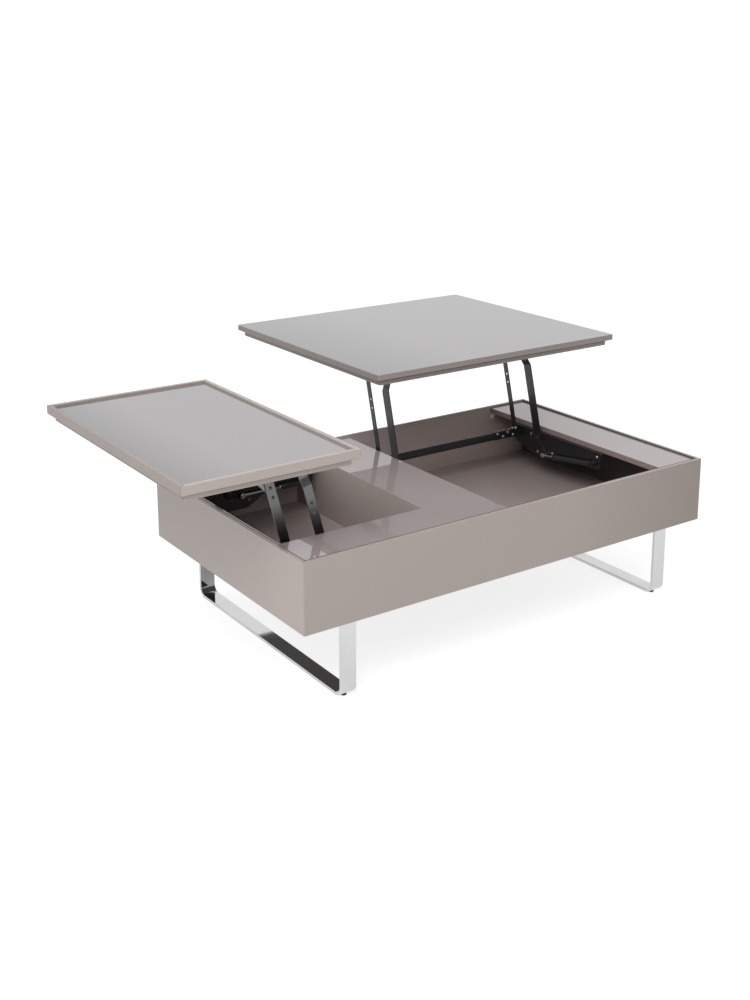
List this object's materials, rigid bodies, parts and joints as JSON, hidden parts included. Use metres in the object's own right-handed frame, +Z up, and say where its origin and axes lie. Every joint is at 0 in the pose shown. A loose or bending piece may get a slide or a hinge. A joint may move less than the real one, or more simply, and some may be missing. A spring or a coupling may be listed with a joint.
{
  "type": "lift top coffee table",
  "caption": "Low rectangular storage coffee table with lids that lift and swing outwards on parallelogram arms, standing on chrome loop legs.",
  "frame": {"origin": "the floor point under the middle of the box", "axes": "+X along the length towards the right end, +Y from the front to the back, +Z up; both lids are raised at rest"},
  "size_m": [1.5922, 1.1082, 0.6652],
  "materials": {
    "lacquer": "satin lacquer, warm taupe grey, on fibreboard",
    "gloss_top": "high gloss lacquer, pale grey",
    "gloss_deck": "high gloss lacquer, taupe grey",
    "interior": "matt foil on fibreboard, taupe",
    "chrome": "polished chrome plate",
    "black_steel": "black powder coat, satin",
    "rubber": "matt",
    "timber": "matt foil on fibreboard",
    "plastic": "moulded, satin"
  },
  "bodies": {
    "table_base": {"front_panel": "lacquer", "back_panel": "lacquer", "left_end_panel": "lacquer", "right_end_panel": "lacquer", "bottom_panel": "interior", "divider_panel": "interior", "middle_support_panel": "interior", "deck_board": "gloss_deck", "right_ledge_board": "gloss_deck", "deck_cleat_front": "timber", "deck_cleat_back": "timber", "deck_cleat_left": "timber", "ledge_cleat_right": "timber", "ledge_bracket_front": "plastic", "ledge_bracket_back": "plastic", "left_leg": "chrome", "right_leg": "chrome", "left_leg_glide_front": "rubber", "left_leg_glide_back": "rubber", "right_leg_glide_front": "rubber", "right_leg_glide_back": "rubber", "right_lift_base_plate_left": "black_steel", "right_lift_base_plate_right": "black_steel", "left_lift_base_plate_front": "black_steel", "left_lift_base_plate_back": "black_steel"},
    "right_lift_second_arms": {"right_lift_second_arm_left": "black_steel", "right_lift_second_arm_right": "black_steel", "right_lift_cross_bar": "black_steel"},
    "right_lift_main_arms": {"right_lift_main_arm_left": "black_steel", "right_lift_main_arm_right": "black_steel"},
    "right_lid": {"right_lid_panel": "gloss_top", "right_lid_underplate": "lacquer", "right_lift_lid_bracket_left": "black_steel", "right_lift_lid_bracket_right": "black_steel"},
    "right_lift_strut_bodies": {"right_lift_strut_body_left": "black_steel", "right_lift_strut_body_right": "black_steel"},
    "right_lift_strut_rods": {"right_lift_strut_rod_left": "chrome", "right_lift_strut_rod_right": "chrome"},
    "left_lift_second_arms": {"left_lift_second_arm_front": "black_steel", "left_lift_second_arm_back": "black_steel", "left_lift_cross_bar": "black_steel"},
    "left_lift_main_arms": {"left_lift_main_arm_front": "black_steel", "left_lift_main_arm_back": "black_steel"},
    "left_lid": {"left_lid_panel": "gloss_top", "left_lid_underplate": "lacquer", "left_lid_rim": "lacquer", "left_lift_lid_bracket_front": "black_steel", "left_lift_lid_bracket_back": "black_steel"},
    "left_lift_strut_bodies": {"left_lift_strut_body_front": "black_steel", "left_lift_strut_body_back": "black_steel"},
    "left_lift_strut_rods": {"left_lift_strut_rod_front": "chrome", "left_lift_strut_rod_back": "chrome"}
  },
  "joints": [
    {"name": "right_lift_second_arms_pivot", "type": "hinge", "parent": "table_base", "child": "right_lift_second_arms", "pos_m": [0, 0.212, 0.338], "axis": [1, 0, 0], "range_deg": [0, 101.5]},
    {"name": "right_lift_main_arms_pivot", "type": "hinge", "parent": "table_base", "child": "right_lift_main_arms", "pos_m": [0, 0.116, 0.338], "axis": [1, 0, 0], "range_deg": [0, 101.5]},
    {"name": "right_lid_pivot", "type": "hinge", "parent": "right_lift_second_arms", "child": "right_lid", "pos_m": [0, 0.28576, 0.61329], "axis": [1, 0, 0], "range_deg": [-101.5, 0]},
    {"name": "right_lift_strut_pivot", "type": "hinge", "parent": "table_base", "child": "right_lift_strut_bodies", "pos_m": [0, -0.124, 0.326], "axis": [1, 0, 0], "range_deg": [0, 6.54]},
    {"name": "right_lift_strut_slide", "type": "slide", "parent": "right_lift_strut_bodies", "child": "right_lift_strut_rods", "axis": [0, 0.9896, -0.1441], "range_m": [0, 0.07543]},
    {"name": "left_lift_second_arms_pivot", "type": "hinge", "parent": "table_base", "child": "left_lift_second_arms", "pos_m": [-0.597, 0, 0.332], "axis": [0, 1, 0], "range_deg": [0, 99.5]},
    {"name": "left_lift_main_arms_pivot", "type": "hinge", "parent": "table_base", "child": "left_lift_main_arms", "pos_m": [-0.506, 0, 0.332], "axis": [0, 1, 0], "range_deg": [0, 99.5]},
    {"name": "left_lid_pivot", "type": "hinge", "parent": "left_lift_second_arms", "child": "left_lid", "pos_m": [-0.65731, 0, 0.55706], "axis": [0, 1, 0], "range_deg": [-99.5, 0]},
    {"name": "left_lift_strut_pivot", "type": "hinge", "parent": "table_base", "child": "left_lift_strut_bodies", "pos_m": [-0.264, 0, 0.322], "axis": [0, 1, 0], "range_deg": [-4.83, 0]},
    {"name": "left_lift_strut_slide", "type": "slide", "parent": "left_lift_strut_bodies", "child": "left_lift_strut_rods", "axis": [-0.9999, 0, -0.01], "range_m": [0, 0.05625]}
  ],
  "couplings": [
    {"joint": "right_lift_main_arms_pivot", "follows": "right_lift_second_arms_pivot", "ratio": 1},
    {"joint": "right_lid_pivot", "follows": "right_lift_second_arms_pivot", "ratio": -1},
    {"joint": "right_lift_strut_pivot", "follows": "right_lift_second_arms_pivot", "ratio": 0.064468},
    {"joint": "right_lift_strut_slide", "follows": "right_lift_second_arms_pivot", "m_per_rad": 0.042579},
    {"joint": "left_lift_main_arms_pivot", "follows": "left_lift_second_arms_pivot", "ratio": 1},
    {"joint": "left_lid_pivot", "follows": "left_lift_second_arms_pivot", "ratio": -1},
    {"joint": "left_lift_strut_pivot", "follows": "left_lift_second_arms_pivot", "ratio": -0.04854},
    {"joint": "left_lift_strut_slide", "follows": "left_lift_second_arms_pivot", "m_per_rad": 0.032391}
  ]
}
